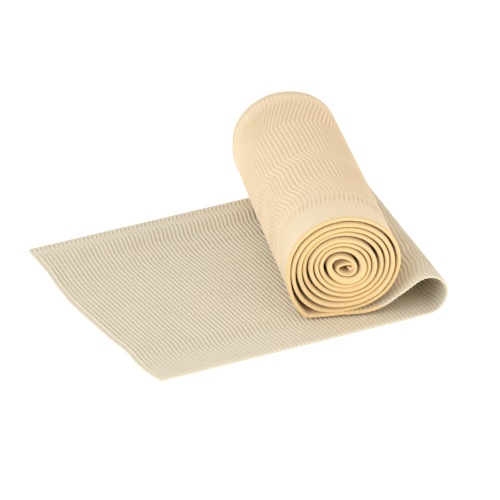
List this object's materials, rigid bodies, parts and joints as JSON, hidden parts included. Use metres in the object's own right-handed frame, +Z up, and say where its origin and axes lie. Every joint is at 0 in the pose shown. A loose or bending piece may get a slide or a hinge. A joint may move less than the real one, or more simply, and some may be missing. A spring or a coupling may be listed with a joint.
{
  "type": "cotton crepe bandage",
  "caption": "Crinkled cotton bandage lying partly unrolled: a flat free length, a loose turned-back loop and the wound roll resting on them.",
  "frame": {"origin": "on the strip's flat underside, where the roll's axis crosses the middle of the strip's width", "axes": "+X along the laid strip from its free end towards the loop, +Y across the strip away from the near edge, +Z up from the table"},
  "size_m": [0.1223, 0.109, 0.0357],
  "materials": {
    "crepe_cloth": "matt natural cotton crepe, crinkled across its length, with a fuzzy golden cut at the roll's ends"
  },
  "bodies": {
    "root": {"laid_strip": "crepe_cloth", "wound_roll": "crepe_cloth"}
  },
  "joints": []
}
